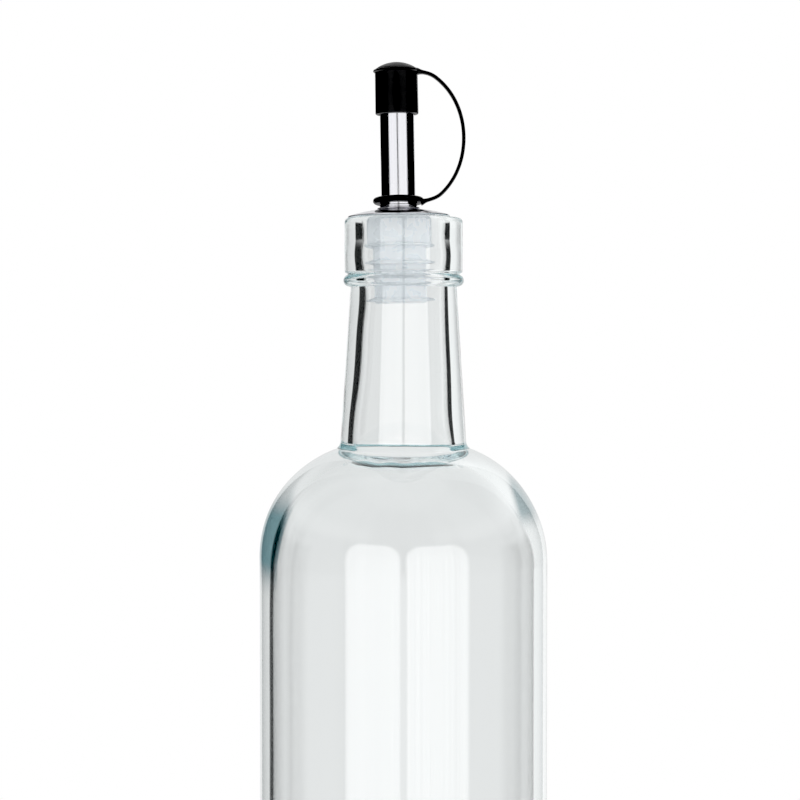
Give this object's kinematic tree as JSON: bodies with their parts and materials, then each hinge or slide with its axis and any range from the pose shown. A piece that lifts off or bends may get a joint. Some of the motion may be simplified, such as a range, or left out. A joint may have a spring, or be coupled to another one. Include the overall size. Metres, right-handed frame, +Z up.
{
  "type": "oil bottle with pourer",
  "caption": "Round clear-glass bottle with a narrow neck, a push-in steel pourer spout and a rubber dust cap tethered to it by a strap.",
  "frame": {"origin": "on the bottle's axis, at the plane it stands on", "axes": "+Z up along the bottle's axis; +X towards the side the cap's strap is on; -Y towards the viewer"},
  "size_m": [0.072, 0.072, 0.327],
  "materials": {
    "clear_glass": "clear, faint green tint where thick",
    "stopper_plastic": "translucent, soft",
    "polished_steel": "polished stainless steel",
    "black_rubber": "satin moulded rubber"
  },
  "bodies": {
    "bottle": {"glass_bottle": "clear_glass"},
    "pourer": {"stopper": "stopper_plastic", "pourer_disc": "polished_steel", "spout_ferrule": "polished_steel", "spout_tube": "polished_steel", "vent_tube": "polished_steel"},
    "strap_ring": {"collar_ring": "black_rubber"},
    "dust_cap": {"cap": "black_rubber", "cap_strap": "black_rubber"}
  },
  "joints": [
    {"name": "pourer_pull", "type": "slide", "parent": "bottle", "child": "pourer", "axis": [-0.0175, 0, 0.9998], "range_m": [0, 0.035]},
    {"name": "ring_swivel", "type": "hinge", "parent": "pourer", "child": "strap_ring", "pos_m": [-0.0012, 0, 0.288], "axis": [-0.0175, 0, 0.9998], "continuous": true},
    {"name": "cap_pull", "type": "slide", "parent": "strap_ring", "child": "dust_cap", "axis": [-0.0175, 0, 0.9998], "range_m": [0, 0.008], "deforming": ["cap_strap"]}
  ]
}
